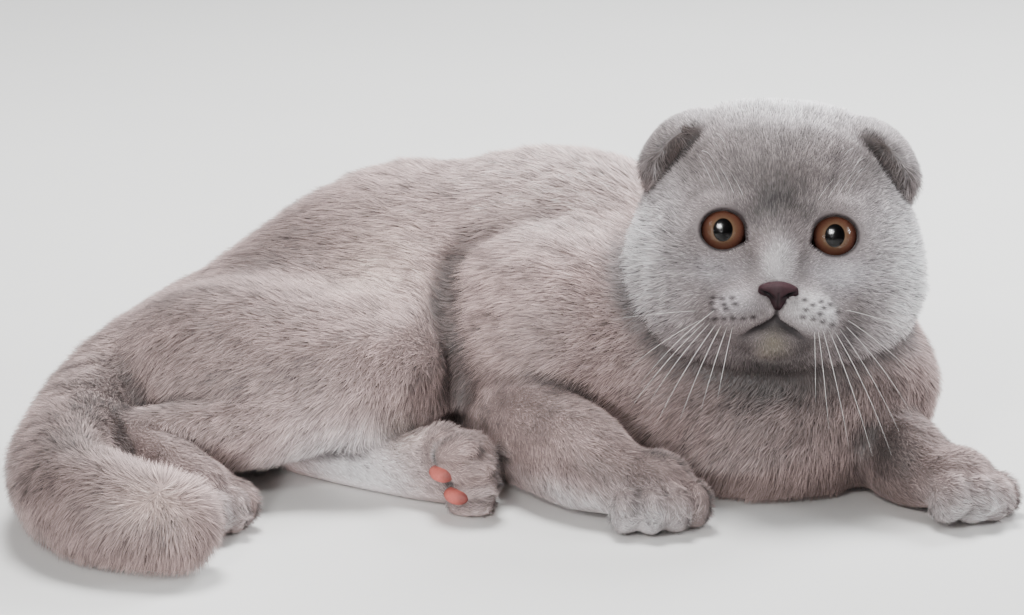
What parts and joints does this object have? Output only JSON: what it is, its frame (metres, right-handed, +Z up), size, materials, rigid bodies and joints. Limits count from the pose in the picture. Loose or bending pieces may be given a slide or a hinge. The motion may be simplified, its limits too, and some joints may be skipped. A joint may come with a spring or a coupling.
{
  "type": "lying cat",
  "caption": "Life-size lying cat with folded ears, round face and plush coat, resting on its breast with the hips rolled to one side.",
  "frame": {"origin": "on the floor, under the middle of the bounding box", "axes": "+X towards the cat's left side, -Y the way the face looks, +Z up"},
  "size_m": [0.4108, 0.2964, 0.1563],
  "materials": {
    "coat": "plush lilac-grey fur",
    "eye": "wet copper iris with a black pupil",
    "nose": "matt plum leather",
    "pad": "soft pink pad"
  },
  "bodies": {
    "root": {"head": "coat", "eye_right": "eye", "eye_left": "eye", "ear_right": "coat", "ear_left": "coat", "nose": "nose", "neck": "coat", "chest": "coat", "belly": "coat", "rump": "coat", "thigh_right": "coat", "shank_right": "coat", "hindfoot_right": "coat", "hindpaw_right": "coat", "hindfoot_left": "coat", "hindpaw_left": "coat", "toe_pad_upper": "pad", "toe_pad_lower": "pad", "foreleg_right": "coat", "forepaw_right": "coat", "foreleg_left": "coat", "forepaw_left": "coat", "tail_base": "coat", "tail_middle": "coat", "tail_tip": "coat"}
  },
  "joints": []
}
